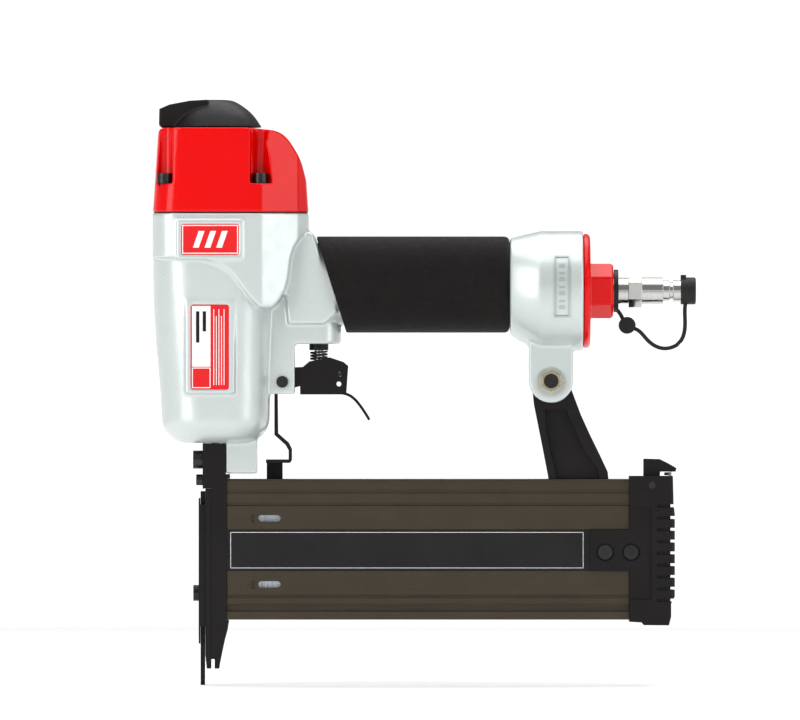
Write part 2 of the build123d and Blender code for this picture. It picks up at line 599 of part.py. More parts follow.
with BuildPart() as nosepiece:
    side_plate([(0.75, 0), (2.8, 0), (3.2, 2.6), (4.2, 7.6), (5.3, 12.8), (6.5, 17.3), (7.2, 21.6), (NOSE_REAR, 21.8),
                (NOSE_REAR, 85.5), (7.6, 85.5), (7.6, 87.4), (5.7, 87.4), (5.7, 101.3), (-4.6, 101.3), (-4.6, 81.0), (0.75, 81.0)],
               NOSE_HALF)
    # Rails that close the sides of the driver channel
    for side in (-1, 1):
        middle = side * (CHANNEL_Y / 2 + NOSE_HALF) / 2
        span = NOSE_HALF - CHANNEL_Y / 2
        bar(-0.75, 0.76, middle - span / 2, middle + span / 2, 4.3, 81.5)
    nose_taper()
    # Driver channel through the head block, and the brads' way in
    bar(-0.75, 0.75, -CHANNEL_Y / 2, CHANNEL_Y / 2, -1, 110, Mode.SUBTRACT)
    bar(0, 9, -0.8, 0.8, 23.4, 74.8, Mode.SUBTRACT)
    # Relief for the contact blade at the end of its travel
    bar(-8, PLATE_FRONT, -4.8, 4.8, 80, 88.6, Mode.SUBTRACT)
    for side in (-1, 1):
        disc(rearward(-6, side * 5.6, 94), 2.55, 20, Mode.SUBTRACT)
        disc(rearward(-6, side * 7.3, 84.9), 1.55, 10, Mode.SUBTRACT)
    # Ear on the far side for the magazine screws
    bar(0.76, 16, 9.3, 10.8, 30, 62)
    for height in (37, 55):
        disc(across(11.5, 8, height), 1.6, 5, Mode.SUBTRACT)
    disc(rearward(-2, 0, 34), 1.55, 2.6, Mode.SUBTRACT)
save(nosepiece.part, "nosepiece")

with BuildPart() as front_plate:
    side_plate([(-0.8, 0), (-2.8, 0), (PLATE_FRONT, 6), (PLATE_FRONT, 80.8), (-0.8, 80.8)], NOSE_HALF)
    nose_taper()
    disc(rearward(-6, 0, 34), 1.55, 10, Mode.SUBTRACT)
    for height in (14, 66):
        for side in (-1, 1):
            disc(rearward(-6, side * 5.6, height), 1.0, 10, Mode.SUBTRACT)
save(front_plate.part, "front_plate")

with BuildPart() as nose_dowels:
    for height in (14, 66):
        for side in (-1, 1):
            disc(rearward(PLATE_FRONT + 0.1, side * 5.6, height), 0.95, 2.4)
save(nose_dowels.part, "nose_dowels")

with BuildPart() as nose_screws:
    for side in (-1, 1):
        disc(rearward(-4.7, side * 5.6, 94), 2.45, 20)
        disc(rearward(-8.9, side * 5.6, 94), 4.05, 4.2)
        with BuildSketch(rearward(-9, side * 5.6, 94)):
            RegularPolygon(2.3, 6)
        extrude(amount=2.4, mode=Mode.SUBTRACT)
save(nose_screws.part, "nose_screws")

with BuildPart() as guide_screws:
    for side in (-1, 1):
        disc(rearward(-4.7, side * 7.3, 84.9), 1.5, 8)
        disc(rearward(-7.5, side * 7.3, 84.9), 2.4, 2.8)
        with BuildSketch(rearward(-8, side * 7.3, 84.9)):
            RegularPolygon(1.4, 6)
        extrude(amount=2.0, mode=Mode.SUBTRACT)
save(guide_screws.part, "guide_screws")

with BuildPart() as front_cover:
    bar(COVER_FRONT, COVER_FRONT + 0.6, -8.6, 8.6, 11.3, 76.7)
    for side, top in ((-1, 74.0), (1, 56.0)):
        bar(COVER_FRONT, PLATE_FRONT - 0.05, side * 8.3 - 0.3, side * 8.3 + 0.3, 11.3, top)
    bar(COVER_FRONT, COVER_FRONT + 0.6, 5.2, 9, 56.0, 80, Mode.SUBTRACT)
    with BuildSketch(rearward(-20, 0, 0)):
        with BuildLine():
            Polyline((-6.6, 11.3), (6.6, 11.3), (8.6, 22), (8.6, 76.7), (-8.6, 76.7), (-8.6, 22), close=True)
        make_face()
    extrude(amount=60, mode=Mode.INTERSECT)
    disc(rearward(-8, 0, 34), 1.6, 4, Mode.SUBTRACT)
save(front_cover.part, "front_cover")

with BuildPart() as cover_screw:
    disc(rearward(COVER_FRONT - 0.05, 0, 34), 1.5, 5.5)
    disc(rearward(COVER_FRONT - 2.5, 0, 34), 3.6, 2.45)
    with BuildSketch(rearward(-10, 0, 34)):
        RegularPolygon(1.7, 6)
    extrude(amount=2.6, mode=Mode.SUBTRACT)
save(cover_screw.part, "cover_screw")

# ---- work contact safety -------------------------------------------------------------------
BLADE_HALF = 4.4
with BuildPart() as contact_blade:
    bar(BLADE_FRONT, BLADE_REAR, -BLADE_HALF, BLADE_HALF, -7.4, 79.8)
    bar(BLADE_FRONT, BLADE_REAR, -BLADE_HALF, 13.3, 60, 73)
    with BuildSketch(rearward(BLADE_FRONT - 1, 0, 0)):
        with Locations((0, 30.2)):
            SlotOverall(12.5, 3.8, rotation=90)
    extrude(amount=6, mode=Mode.SUBTRACT)
    for side in (-1, 1):
        with Locations((-4.6, side * BLADE_HALF, -7.4)):
            Cylinder(2.6, 10, rotation=(0, 90, 0), mode=Mode.SUBTRACT)
save(contact_blade.part, "contact_blade")

LINK_IN = 11.7
LINK_OUT = 13.3
with BuildPart() as safety_link:
    side_plate([(BLADE_REAR + 0.05, 60), (6, 60), (20, 66), (31.2, 72), (31.2, 92.4), (24.0, 92.4), (24.0, 82),
                (BLADE_REAR + 0.05, 73)], 30)
    bar(-30, 60, -40, LINK_IN, 0, 200, Mode.SUBTRACT)
    bar(-30, 60, LINK_OUT, 40, 0, 200, Mode.SUBTRACT)
    # Shelf for the return spring
    bar(SPRING_X - 3.4, SPRING_X + 3.4, LINK_OUT - 0.2, 18.2, 71.8, 73.4)
    disc(up(SPRING_X, 15.9, 60), 1.3, 30, Mode.SUBTRACT)
save(safety_link.part, "safety_link")

with BuildPart() as safety_arm:
    # Foot on top of the link, then a strip that steps forward and runs up to the trigger
    bar(23.8, 34.6, -3.5, LINK_OUT, 92.5, 94.0)
    side_plate([(33.3, 92.5), (34.9, 92.8), (35.5, 93.8), (35.5, 98.8), (34.1, 101.6), (29.3, 105.8), (29.1, 124.4),
                (27.6, 124.4), (27.6, 105.1), (32.6, 100.6), (34.0, 98.2), (34.0, 94.0)], 3.5)
save(safety_arm.part, "safety_arm")

with BuildPart() as safety_guide_pin:
    disc(up(SPRING_X, 15.9, 62), 1.2, 30)
    disc(up(SPRING_X, 15.9, 92), 2.6, 1.4)
    disc(up(SPRING_X, 14.4, 93.4), 1.2, 14)
    bar(SPRING_X - 2.4, SPRING_X + 2.4, 12.6, 17.6, 92.2, 93.6)
save(safety_guide_pin.part, "safety_guide_pin")

with BuildPart() as safety_spring:
    spring(SPRING_X, 15.9, 73.5, 92.0, 2.0, 0.7, 7)
save(safety_spring.part, "safety_spring")

# ---- magazine --------------------------------------------------------------------------------
with BuildPart() as fixed_magazine:
    with BuildSketch(rearward(MAG_FRONT, 0, 0)):
        with Locations((0, (MAG_FOOT + MAG_TOP) / 2)):
            RectangleRounded(2 * MAG_HALF, MAG_TOP - MAG_FOOT, 0.8)
        # Space for the sliding panel, down to the brads
        with Locations((-5, (PANEL_FOOT + PANEL_TOP) / 2)):
            Rectangle(11.6, PANEL_TOP - PANEL_FOOT, mode=Mode.SUBTRACT)
        # Brad slot, guide grooves, hollow top and the far side's spring channel
        with Locations((0, 49.1)):
            Rectangle(1.6, 51.6, mode=Mode.SUBTRACT)
        with Locations((-5.5, (PANEL_FOOT + PANEL_TOP) / 2)):
            Rectangle(1.6, PANEL_TOP - PANEL_FOOT + 4.0, mode=Mode.SUBTRACT)
        with Locations((0, 80.0)):
            RectangleRounded(13, 6, 0.8, mode=Mode.SUBTRACT)
        with Locations((4.6, 53.2)):
            RectangleRounded(4.4, 24, 0.8, mode=Mode.SUBTRACT)
        # Set-back band and fine grooves on the near side
        with Locations((-9, 27.5)):
            Rectangle(6.0, 3.6, mode=Mode.SUBTRACT)
        for height, width in ((32.5, 1.3), (74.0, 1.3), (79.7, 1.8)):
            with Locations((-9, height)):
                Rectangle(2.4, width, mode=Mode.SUBTRACT)
        for height in (29.7, 73.7, 80.2):
            with Locations((9, height)):
                Rectangle(1.2, 0.8, mode=Mode.SUBTRACT)
    extrude(amount=MAG_REAR - MAG_FRONT)
    for spot in (158.5, 170.5):
        disc(up(spot, 0, 82), 2.1, 10, Mode.SUBTRACT)
    for height in (37, 55):
        disc(across(11.5, 0, height), 1.6, 12, Mode.SUBTRACT)
save(fixed_magazine.part, "fixed_magazine")

PANEL_FRONT = 6.5
with BuildPart() as movable_magazine:
    with BuildSketch(rearward(PANEL_FRONT, 0, 0)):
        with Locations((-4.95, (PANEL_FOOT + PANEL_TOP) / 2)):
            Rectangle(8.1, PANEL_TOP - PANEL_FOOT - 0.3)
        with Locations((-5.5, (PANEL_FOOT + PANEL_TOP) / 2)):
            Rectangle(1.4, PANEL_TOP - PANEL_FOOT + 3.6)
        # Label recess outside, pusher channel inside
        with Locations((-9, (LABEL_FOOT + LABEL_TOP) / 2)):
            Rectangle(1.2, LABEL_TOP - LABEL_FOOT, mode=Mode.SUBTRACT)
        with Locations((-3.7, 53.2)):
            Rectangle(5.8, 24, mode=Mode.SUBTRACT)
    extrude(amount=MAG_REAR - PANEL_FRONT)
    # Tongue inside the tail cover
    bar(MAG_REAR - 1, 193, -8.35, -6.65, 44.4, 60.8)
    # Sight slots and their dimples
    for height in (67.6, 37.9):
        with BuildSketch(across(25.35, -10, height)):
            SlotOverall(10.1, 3.0)
        extrude(amount=9.2, mode=Mode.SUBTRACT)
        bar(17.4, 18.8, -10, -8.0, height - 1.9, height + 1.9, Mode.SUBTRACT)
        bar(15.2, 17.6, -10, -8.6, height - 0.4, height + 0.4, Mode.SUBTRACT)
    for spot in TAIL_SCREWS:
        disc(across(spot, -10, 52.5), 1.3, 5, Mode.SUBTRACT)
save(movable_magazine.part, "movable_magazine")

with BuildPart() as magazine_label:
    bar(PANEL_FRONT + 0.2, TONGUE_FRONT - 0.1, -8.55, -8.42, LABEL_FOOT + 0.15, LABEL_TOP - 0.15)
save(magazine_label.part, "magazine_label")

with BuildPart() as brad_strip:
    for index in range(BRAD_COUNT):
        start = 0.85 + index * BRAD_PITCH
        bar(start, start + BRAD_PITCH - 0.04, -BRAD_T / 2, BRAD_T / 2, BRAD_FOOT, BRAD_FOOT + BRAD_LENGTH)
save(brad_strip.part, "brad_strip")

PUSHER_X = 0.85 + BRAD_COUNT * BRAD_PITCH + 0.2
with BuildPart() as pusher:
    bar(PUSHER_X, PUSHER_X + 3, -BRAD_T / 2, BRAD_T / 2, BRAD_FOOT, BRAD_FOOT + BRAD_LENGTH)
    bar(PUSHER_X, PUSHER_X + 22, -6.1, -BRAD_T / 2 + 0.1, 41.6, 64.8)
    bar(PUSHER_X + 11, PUSHER_X + 19, -7, 1, 48.6, 57.6, Mode.SUBTRACT)
save(pusher.part, "pusher")

with BuildPart() as pusher_spring_coil:
    tube(up(PUSHER_X + 15, -3.3, 49.0), 2.5, 1.2, 8.2)
save(pusher_spring_coil.part, "pusher_spring_coil")

with BuildPart() as pusher_spring_strip:
    bar(9, PUSHER_X + 10.6, -6.5, -6.3, 49.4, 56.8)
save(pusher_spring_strip.part, "pusher_spring_strip")

with BuildPart() as magazine_screws:
    for height in (37, 55):
        disc(across(11.5, 7.2, height), 1.5, 3.7)
        disc(across(11.5, 10.85, height), 2.7, 1.6)
save(magazine_screws.part, "magazine_screws")

# ---- tail cover and latch --------------------------------------------------------------------
RIB_COUNT = 9
RIB_FIRST = 30.1
RIB_PITCH = 5.3
with BuildPart() as tail_cover:
    side_plate([(TAIL_FRONT, 21.2), (192.6, 20.9), (193.6, 19.7), (204.9, 19.6), (205.9, 23.4), (205.9, 29.4),
                (TAIL_REAR, 32.6), (TAIL_REAR, 69.5), (207.0, 74.0), (206.7, 86.6), (TAIL_FRONT, 86.6)],
               TAIL_HALF)
    fillet(tail_cover.edges().filter_by(Axis.Z).group_by(Axis.X)[-1], 2.0)
    # Finger ribs: grooves round the rear and sides
    for index in range(RIB_COUNT):
        with BuildSketch(up(205, 0, RIB_FIRST + index * RIB_PITCH)):
            Rectangle(10.8, 40)
            with Locations((-3.5, 0)):
                Rectangle(8.2, 2 * TAIL_HALF - 2.4, mode=Mode.SUBTRACT)
        extrude(amount=1.5, mode=Mode.SUBTRACT)
    # Hollow behind the magazine, latch pocket
    bar(TAIL_FRONT - 1, 199, -8.5, 8.5, 26, 74, Mode.SUBTRACT)
    bar(TAIL_FRONT - 1, 202.8, -5.4, 5.4, 76.4, 90, Mode.SUBTRACT)
    # Side faces set back between the two blocks
    for side in (-1, 1):
        middle = side * (TONGUE_FACE + TAIL_HALF + 1) / 2
        span = TAIL_HALF + 1 - TONGUE_FACE
        bar(TAIL_FRONT - 1, 197.0, middle - span / 2, middle + span / 2, 31.0, 72.6, Mode.SUBTRACT)
    # Tongue in the label recess, with screw seats
    bar(TONGUE_FRONT, TAIL_FRONT + 0.2, -TONGUE_FACE, -8.45, 44.0, 62.6)
    for spot in TAIL_SCREWS:
        disc(across(spot, -13, 52.5), 1.4, 10, Mode.SUBTRACT)
        disc(across(spot, -13, 52.5), 4.1, 13 - 9.7, Mode.SUBTRACT)
    disc(across(197.3, -15, 82.5), 1.55, 30, Mode.SUBTRACT)
save(tail_cover.part, "tail_cover")

with BuildPart() as tail_screws:
    for spot in TAIL_SCREWS:
        disc(across(spot, -9.8, 52.5), 1.25, 2.9)
        disc(across(spot, -10.8, 52.5), 3.2, 1.05)
        with BuildSketch(across(spot, -11, 52.5)):
            RegularPolygon(1.5, 6)
        extrude(amount=0.9, mode=Mode.SUBTRACT)
save(tail_screws.part, "tail_screws")

with BuildPart() as latch:
    side_plate([(183.8, 78.2), (200.2, 78.2), (201.1, 88.6), (208.0, 88.6), (208.4, 90.2), (205.0, 92.2),
                (201.0, 94.2), (193.6, 94.4), (193.6, 80.6), (185.6, 80.6), (185.6, 79.7), (183.8, 79.7)], 5.0)
    disc(across(197.3, -15, 82.5), 1.56, 30, Mode.SUBTRACT)
    fillet(latch.edges().filter_by(Axis.Y).group_by(Axis.Z)[-1], 0.6)
save(latch.part, "latch")

with BuildPart() as latch_pin:
    disc(across(197.3, -TAIL_HALF + 0.2, 82.5), 1.5, 2 * TAIL_HALF - 0.4)
save(latch_pin.part, "latch_pin")

with BuildPart() as latch_spring:
    spring(204.6, 0, 86.7, 88.5, 1.5, 0.5, 2)
save(latch_spring.part, "latch_spring")

# ---- rear stay -------------------------------------------------------------------------------
STAY_OUTLINE = [(143.5, 127.0), (144.4, 118.6), (146.2, 109.6), (148.0, 100.6), (150.7, 86.7),
                (150.9, MAG_TOP + 0.05), (177.8, MAG_TOP + 0.05), (177.5, 88.5), (174.0, 96.0),
                (169.6, 105.0), (165.5, 114.0), (160.6, 127.0)]
with BuildPart() as rear_stay:
    side_plate(STAY_OUTLINE, STAY_SLOT / 2 - 0.1)
    disc(across(STAY_PIN_X, -STAY_SLOT / 2 + 0.1, STAY_PIN_Z), 8.4, STAY_SLOT - 0.2)
    # Panels sunk into both faces
    for side in (-1, 1):
        with BuildSketch(Plane(origin=(0, side * 4.2, 0), x_dir=(1, 0, 0), z_dir=(0, -1, 0))) as panel:
            with BuildLine():
                Polyline((149.3, 116.4), (149.5, 108.2), (151.6, 97.4), (154.9, 84.0), (174.0, 84.0),
                         (173.4, 89.3), (167.4, 97.4), (161.3, 110.9), (158.8, 116.4), close=True)
            make_face()
            fillet(panel.vertices().filter_by(lambda corner: corner.Z > 100), 1.6)
        extrude(amount=-side * 10, mode=Mode.SUBTRACT)
    disc(across(STAY_PIN_X, -20, STAY_PIN_Z), 3.1, 40, Mode.SUBTRACT)
    for spot in (158.5, 170.5):
        disc(up(spot, 0, 80), 2.1, 9.5, Mode.SUBTRACT)
save(rear_stay.part, "rear_stay")

with BuildPart() as stay_bolt:
    seat = STAY_LUG_HALF - 0.6
    disc(across(STAY_PIN_X, -seat - 4.6, STAY_PIN_Z), 3.0, 2 * seat + 8.6)
    disc(across(STAY_PIN_X, seat + 0.05, STAY_PIN_Z), 5.0, 3.8)
save(stay_bolt.part, "stay_bolt")

with BuildPart() as stay_nut:
    with BuildSketch(across(STAY_PIN_X, -seat - 4.2, STAY_PIN_Z)):
        RegularPolygon(4.9, 6, rotation=30, major_radius=True)
        Circle(3.05, mode=Mode.SUBTRACT)
    extrude(amount=4.15)
save(stay_nut.part, "stay_nut")

with BuildPart() as stay_screws:
    for spot in (158.5, 170.5):
        disc(up(spot, 0, 82.9), 2.0, 6.4)
        disc(up(spot, 0, 79.6), 3.6, 3.3)
save(stay_screws.part, "stay_screws")
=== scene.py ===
import json
import math

import bmesh
import bpy
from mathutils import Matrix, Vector


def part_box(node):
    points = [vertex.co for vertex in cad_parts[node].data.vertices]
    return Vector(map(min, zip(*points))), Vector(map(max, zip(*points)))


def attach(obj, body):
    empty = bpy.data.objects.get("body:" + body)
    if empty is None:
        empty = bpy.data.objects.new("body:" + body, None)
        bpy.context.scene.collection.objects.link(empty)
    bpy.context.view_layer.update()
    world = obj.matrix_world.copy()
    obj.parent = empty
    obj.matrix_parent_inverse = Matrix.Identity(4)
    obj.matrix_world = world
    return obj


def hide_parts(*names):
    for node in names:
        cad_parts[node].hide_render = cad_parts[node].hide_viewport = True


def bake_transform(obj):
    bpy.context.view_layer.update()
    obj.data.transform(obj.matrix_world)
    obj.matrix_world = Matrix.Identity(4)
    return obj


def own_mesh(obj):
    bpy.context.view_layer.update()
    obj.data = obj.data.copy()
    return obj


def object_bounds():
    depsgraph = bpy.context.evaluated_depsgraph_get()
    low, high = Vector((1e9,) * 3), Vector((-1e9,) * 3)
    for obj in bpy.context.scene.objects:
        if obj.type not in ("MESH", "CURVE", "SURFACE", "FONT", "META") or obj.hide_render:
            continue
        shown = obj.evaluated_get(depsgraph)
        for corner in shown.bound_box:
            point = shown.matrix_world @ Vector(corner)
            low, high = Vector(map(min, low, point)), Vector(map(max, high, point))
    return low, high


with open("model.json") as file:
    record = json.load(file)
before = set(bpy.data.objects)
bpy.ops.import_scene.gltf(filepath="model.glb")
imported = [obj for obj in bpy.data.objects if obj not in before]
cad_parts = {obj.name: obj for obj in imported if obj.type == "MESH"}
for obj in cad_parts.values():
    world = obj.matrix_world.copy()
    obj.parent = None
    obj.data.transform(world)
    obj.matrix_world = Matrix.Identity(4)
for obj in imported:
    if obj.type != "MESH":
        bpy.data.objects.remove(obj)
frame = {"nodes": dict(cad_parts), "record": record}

cad_box = [list(corner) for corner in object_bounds()]

MM = 0.001
CUP_RADIUS = 26.9     # outside of the housing's rear cup, in millimetres
NODES = frame["nodes"]
BODY_OF = {node: body for body, members in frame["record"]["behaviour"]["bodies"].items() for node in members}
SLOT_OF = {part["node"]: part["material_slot"] for part in frame["record"]["subparts"]}
SHARP = math.radians(32)
FLOOR_RADIUS = 1.3    # metres
FLOOR_SIDES = 96
PROUD = 0.08          # how far the head badge's marks stand off it, in millimetres
THIN = 0.05           # the same for the side badge
SUNK = 0.03           # how far the marks reach into a badge


# ---- camera, first because everything is judged through it ---------------------------------
VIEW_CENTRE = (0.0841, 0.1388)     # what the lens points at, along X and up Z
VIEW_DISTANCE = 6.0
camera_data = bpy.data.cameras.new("camera")
camera_data.sensor_width = 36.0
camera_data.lens = 600.0       # a long lens, so the side view has almost no perspective
camera = bpy.data.objects.new("camera", camera_data)
camera.location = (VIEW_CENTRE[0], -VIEW_DISTANCE, VIEW_CENTRE[1])
camera.rotation_euler = (math.radians(90), 0, 0)
bpy.context.scene.collection.objects.link(camera)
bpy.context.scene.camera = camera


# ---- materials ------------------------------------------------------------------------------
class Paper:
    """A material under construction: its node tree, its shader, and a few shorthands."""

    def __init__(self, name):
        self.material = bpy.data.materials.new(name)
        self.material.use_nodes = True
        self.tree = self.material.node_tree
        self.tree.nodes.clear()
        output = self.tree.nodes.new("ShaderNodeOutputMaterial")
        self.shader = self.tree.nodes.new("ShaderNodeBsdfPrincipled")
        self.link(self.shader.outputs[0], output.inputs[0])
        self.place = self.tree.nodes.new("ShaderNodeTexCoord").outputs["Object"]

    def link(self, source, target):
        self.tree.links.new(source, target)

    def noise(self, per_metre, stretch=(1, 1, 1), detail=3.0, rough=0.55):
        """Noise with the given number of features in a metre, stretched along the axes."""
        mapping = self.tree.nodes.new("ShaderNodeMapping")
        mapping.inputs["Scale"].default_value = stretch
        self.link(self.place, mapping.inputs[0])
        texture = self.tree.nodes.new("ShaderNodeTexNoise")
        texture.inputs["Scale"].default_value = per_metre
        texture.inputs["Detail"].default_value = detail
        texture.inputs["Roughness"].default_value = rough
        self.link(mapping.outputs[0], texture.inputs[0])
        return texture.outputs["Fac"]

    def spread(self, value, low, high, start=0.25, stop=0.75):
        """Map a noise value onto a range."""
        ranger = self.tree.nodes.new("ShaderNodeMapRange")
        ranger.inputs["From Min"].default_value = start
        ranger.inputs["From Max"].default_value = stop
        ranger.inputs["To Min"].default_value = low
        ranger.inputs["To Max"].default_value = high
        self.link(value, ranger.inputs["Value"])
        return ranger.outputs[0]

    def mix(self, share, first, second):
        """Mix two colours, each a tuple or a socket."""
        mixer = self.tree.nodes.new("ShaderNodeMix")
        mixer.data_type = "RGBA"
        for index, value in ((6, first), (7, second)):
            if isinstance(value, tuple):
                mixer.inputs[index].default_value = (*value, 1)
            else:
                self.link(value, mixer.inputs[index])
        self.link(share, mixer.inputs[0])
        return mixer.outputs[2]

    def bump(self, height, strength, depth, below=None):
        """Relief of the given depth in metres, on top of an earlier one."""
        relief = self.tree.nodes.new("ShaderNodeBump")
        relief.inputs["Strength"].default_value = strength
        relief.inputs["Distance"].default_value = depth
        self.link(height, relief.inputs["Height"])
        if below is not None:
            self.link(below, relief.inputs["Normal"])
        return relief.outputs[0]

    def colour(self, source):
        if isinstance(source, tuple):
            self.shader.inputs["Base Color"].default_value = (*source, 1)
        else:
            self.link(source, self.shader.inputs["Base Color"])

    def roughness(self, source):
        self.link(source, self.shader.inputs["Roughness"])

    def normal(self, source):
        self.link(source, self.shader.inputs["Normal"])

    def fixed(self, **values):
        for name, value in values.items():
            self.shader.inputs[name.replace("_", " ").title().replace("Ior", "IOR")].default_value = value


def shade(colour, factor):
    return tuple(min(1.0, channel * factor) for channel in colour)


def painted(name, colour, rough, peel, flake=0.0, metallic=0.0, coat=0.0, tone=0.05, specular=0.5):
    """Paint on a casting: slow tone drift, orange peel and a little dust in the gloss."""
    paper = Paper(name)
    drift = paper.spread(paper.noise(22, detail=2), 0, 1)
    base = paper.mix(drift, shade(colour, 1 - tone), shade(colour, 1 + tone))
    if flake:
        sparkle = paper.spread(paper.noise(4200, detail=1), 0, flake, 0.55, 0.75)
        base = paper.mix(sparkle, base, shade(colour, 1.35))
    paper.colour(base)
    paper.roughness(paper.spread(paper.noise(160, detail=4), rough * 0.82, rough * 1.2))
    skin = paper.bump(paper.noise(330, detail=2), 0.35, peel)
    paper.normal(paper.bump(paper.noise(1700, detail=2), 0.15, peel * 0.4, skin))
    paper.fixed(metallic=metallic, coat_weight=coat, coat_roughness=0.06, specular_ior_level=specular)
    return paper.material


def grained(name, colour, rough, grain, depth, tone=0.12, sheen=0.0, specular=0.2):
    """Moulded plastic or rubber with a fine grain."""
    paper = Paper(name)
    drift = paper.spread(paper.noise(60, detail=3), 0, 1)
    paper.colour(paper.mix(drift, shade(colour, 1 - tone), shade(colour, 1 + tone)))
    paper.roughness(paper.spread(paper.noise(300, detail=3), rough * 0.85, min(1.0, rough * 1.12)))
    fine = paper.bump(paper.noise(grain, detail=2), 0.6, depth)
    paper.normal(paper.bump(paper.noise(grain * 0.23, detail=3), 0.3, depth, fine))
    paper.fixed(sheen_weight=sheen, specular_ior_level=specular)
    return paper.material


def brushed(name, colour, rough, stretch, lines=900, metallic=1.0, tone=0.1, depth=0.00001):
    """Metal with drawn or ground lines along one axis."""
    paper = Paper(name)
    streaks = paper.noise(lines, stretch, detail=3)
    drift = paper.spread(paper.noise(70, detail=2), 0, 1)
    base = paper.mix(drift, shade(colour, 1 - tone), shade(colour, 1 + tone))
    paper.colour(paper.mix(paper.spread(streaks, 0, 0.35), base, shade(colour, 0.8)))
    paper.roughness(paper.spread(streaks, rough * 0.75, rough * 1.3))
    paper.normal(paper.bump(streaks, 0.4, depth))
    paper.fixed(metallic=metallic)
    return paper.material


def foam(name, colour):
    """Closed-cell foam: tiny pits with painted shade in them, soft lumps and a dusty sheen."""
    paper = Paper(name)
    cells = paper.tree.nodes.new("ShaderNodeTexVoronoi")
    cells.inputs["Scale"].default_value = 1500
    paper.link(paper.place, cells.inputs["Vector"])
    # pit mask: it drives the pits' relief and the painted shade in the pits
    pits_and_pit_shade = paper.spread(cells.outputs["Distance"], 0, 1, 0.05, 0.6)
    drift = paper.spread(paper.noise(90, detail=4), 0, 1)
    base = paper.mix(drift, shade(colour, 0.78), shade(colour, 1.25))
    # the pits are coloured at half the foam's colour: painted shade in the cell pits
    paper.colour(paper.mix(pits_and_pit_shade, shade(colour, 0.5), base))
    paper.roughness(paper.spread(paper.noise(420, detail=3), 0.8, 0.97))
    lumps = paper.bump(paper.noise(260, detail=4), 0.5, 0.0003)
    paper.normal(paper.bump(pits_and_pit_shade, 0.55, 0.00012, lumps))
    paper.fixed(sheen_weight=0.05, sheen_roughness=0.6, specular_ior_level=0.15)
    return paper.material


SILVER = (0.56, 0.61, 0.60)
RED = (0.68, 0.0005, 0.001)
INK = (0.0055, 0.0042, 0.0046)
BRONZE = (0.062, 0.049, 0.034)
LOOKS = {
    "cast": painted("silver cast paint", SILVER, 0.33, 0.00005, flake=0.5, metallic=0.35, coat=0.25,
                    tone=0.03),
    "red_paint": painted("gloss red paint", RED, 0.2, 0.000025, coat=0.12, tone=0.06, specular=0.2),
    "black_steel": painted("black steel", shade(INK, 1.15), 0.38, 0.00004, metallic=0.1, tone=0.2,
                           specular=0.22),
    "black_plastic": grained("black moulding", shade(INK, 1.2), 0.42, 2600, 0.00004, tone=0.2),
    "foam": foam("foam", (0.0075, 0.0055, 0.0056)),
    "rubber": grained("rubber", INK, 0.55, 1900, 0.00003, tone=0.2, specular=0.35),
    "anodised": brushed("bronze anodised", BRONZE, 0.36, (0.02, 1, 1), lines=2600, metallic=0.75, tone=0.07),
    "nickel": brushed("nickel", (0.55, 0.55, 0.53), 0.16, (1, 0.05, 0.05), lines=2600, tone=0.04,
                      depth=0.000004),
    "steel": brushed("steel", (0.50, 0.50, 0.50), 0.28, (1, 1, 0.04)),
    "brad_steel": brushed("brad steel", (0.52, 0.56, 0.62), 0.3, (1, 1, 0.04)),
    "black_screw": brushed("black screw", (0.045, 0.043, 0.045), 0.34, (1, 1, 1), tone=0.25),
    "badge_red": painted("badge red", (0.70, 0.002, 0.005), 0.25, 0.00001, coat=0.2, tone=0.04, specular=0.3),
    "badge_white": painted("badge white", (0.82, 0.82, 0.82), 0.25, 0.00001, coat=0.4, tone=0.03),
    "label": grained("label film", (0.012, 0.011, 0.012), 0.34, 900, 0.00001, tone=0.2),
    "bumper": grained("urethane", (0.30, 0.16, 0.05), 0.4, 900, 0.00003),
    "plate": painted("cup plate", (0.40, 0.45, 0.44), 0.34, 0.00003, metallic=0.35, tone=0.03),
    "zinc": brushed("zinc", (0.42, 0.36, 0.24), 0.3, (1, 1, 1), lines=700, tone=0.2),
}


# ---- meshes ---------------------------------------------------------------------------------
def welded(node):
    """A bmesh of a CAD node with its doubled corners joined."""
    work = bmesh.new()
    work.from_mesh(NODES[node].data)
    bmesh.ops.remove_doubles(work, verts=work.verts, dist=2e-6)
    bmesh.ops.dissolve_degenerate(work, edges=work.edges, dist=1e-7)
    return work


def smooth_faces(work, angle=SHARP):
    """Smooth shading with sharp edges past an angle."""
    for face in work.faces:
        face.smooth = True
    for edge in work.edges:
        edge.smooth = len(edge.link_faces) == 2 and edge.calc_face_angle(0) < angle


def add_piece(name, work, look, body, replaces=()):
    """Turn a bmesh into a named piece that rides on a body."""
    mesh = bpy.data.meshes.new(name)
    work.to_mesh(mesh)
    work.free()
    piece = bpy.data.objects.new(name, mesh)
    bpy.context.scene.collection.objects.link(piece)
    mesh.materials.append(LOOKS[look])
    if body:
        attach(piece, body)
    if replaces:
        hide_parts(*replaces)
    return piece


def apply_modifiers(piece):
    """Bake a piece's modifiers into its mesh."""
    graph = bpy.context.evaluated_depsgraph_get()
    mesh = bpy.data.meshes.new_from_object(piece.evaluated_get(graph))
    piece.modifiers.clear()
    piece.data = mesh


def edged(node, radius):
    """A CAD node with its corners broken by a small radius."""
    work = welded(node)
    smooth_faces(work)
    slot = SLOT_OF[node]
    piece = add_piece(node + "_finished", work, slot, BODY_OF[node], [node])
    bevel = piece.modifiers.new("edge", "BEVEL")
    bevel.width = radius * MM
    bevel.segments = 2
    bevel.limit_method = "ANGLE"
    bevel.angle_limit = math.radians(30)
    bevel.harden_normals = True
    bevel.use_clamp_overlap = True


